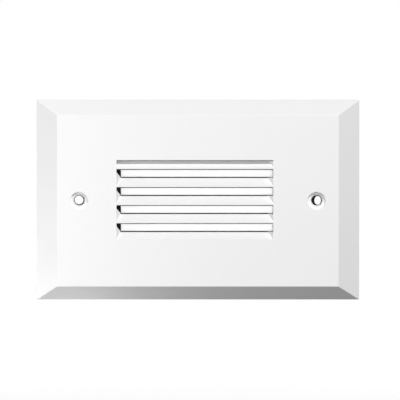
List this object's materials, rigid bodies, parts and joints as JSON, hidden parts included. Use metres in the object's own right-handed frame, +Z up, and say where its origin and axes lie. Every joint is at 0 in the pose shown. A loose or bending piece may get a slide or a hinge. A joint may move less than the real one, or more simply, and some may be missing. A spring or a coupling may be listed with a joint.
{
  "type": "step light",
  "caption": "Recessed step light for a single-gang wall box, with a bevelled white faceplate and fixed downward louvres over a frosted lens.",
  "frame": {"origin": "middle of the wall plane, between the two wall box screws", "axes": "+X to the right as the light is seen, +Y into the wall, +Z up; the faceplate is on the -Y side"},
  "size_m": [0.1134, 0.0526, 0.0702],
  "materials": {
    "white_powder_coat": "fine textured white powder coat on die-cast aluminium",
    "black_foam": "closed-cell foam, matt",
    "grey_foam": "closed-cell foam, matt",
    "zinc_steel": "zinc plated, satin",
    "screw_steel": "bright zinc plate",
    "frosted_glass": "frosted, lit from behind",
    "black_silicone": "moulded, satin",
    "white_polycarbonate": "moulded, high reflectance",
    "white_ceramic": "matt",
    "yellow_phosphor": "silicone with phosphor",
    "white_board": "white solder mask on aluminium",
    "solder": "tinned",
    "grey_silicone": "soft, matt",
    "plate_aluminium": "rolled, satin",
    "clear_film": "milky polyester film",
    "brass": "turned",
    "green_board": "green solder mask",
    "ferrite": "sintered, matt",
    "yellow_tape": "polyester tape",
    "black_plastic": "moulded",
    "capacitor_sleeve": "shrunk sleeve",
    "shrink_sleeve": "shrunk sleeve",
    "black_epoxy": "moulded",
    "brown_plastic": "moulded",
    "blue_epoxy": "dipped",
    "grey_nylon": "moulded",
    "white_nylon": "moulded",
    "red_wire": "wire insulation",
    "black_wire": "wire insulation",
    "cast_aluminium": "as cast",
    "black_rubber": "moulded, matt",
    "green_zinc": "green dyed zinc"
  },
  "bodies": {
    "lamp": {"mounting_frame": "zinc_steel", "frame_screws": "screw_steel", "lens": "frosted_glass", "lens_gasket": "black_silicone", "reflector": "white_polycarbonate", "led_packages": "white_ceramic", "led_phosphors": "yellow_phosphor", "led_board": "white_board", "solder_pads": "solder", "led_board_screws": "screw_steel", "thermal_pad": "grey_silicone", "heat_spreader": "plate_aluminium", "insulating_film": "clear_film", "standoffs": "brass", "driver_board": "green_board", "driver_screws": "screw_steel", "transformer_core": "ferrite", "transformer_winding": "yellow_tape", "transformer_bobbin": "black_plastic", "input_capacitor": "capacitor_sleeve", "output_capacitor": "capacitor_sleeve", "choke": "shrink_sleeve", "bridge_rectifier": "black_epoxy", "driver_chip": "black_epoxy", "fuse": "brown_plastic", "varistor": "blue_epoxy", "input_terminal": "grey_nylon", "output_connector": "white_nylon", "led_lead_positive": "red_wire", "led_lead_negative": "black_wire", "housing": "cast_aluminium", "rear_gasket": "grey_silicone", "rear_cover": "plate_aluminium", "cover_screws": "screw_steel", "cable_grommet": "black_rubber", "ground_screw": "green_zinc", "ground_washer": "screw_steel"},
    "plate": {"faceplate": "white_powder_coat", "faceplate_gasket": "black_foam", "wall_gasket": "grey_foam"}
  },
  "joints": [
    {"name": "faceplate_pull", "type": "slide", "parent": "lamp", "child": "plate", "axis": [0, -1, 0], "range_m": [0, 0.05]}
  ]
}
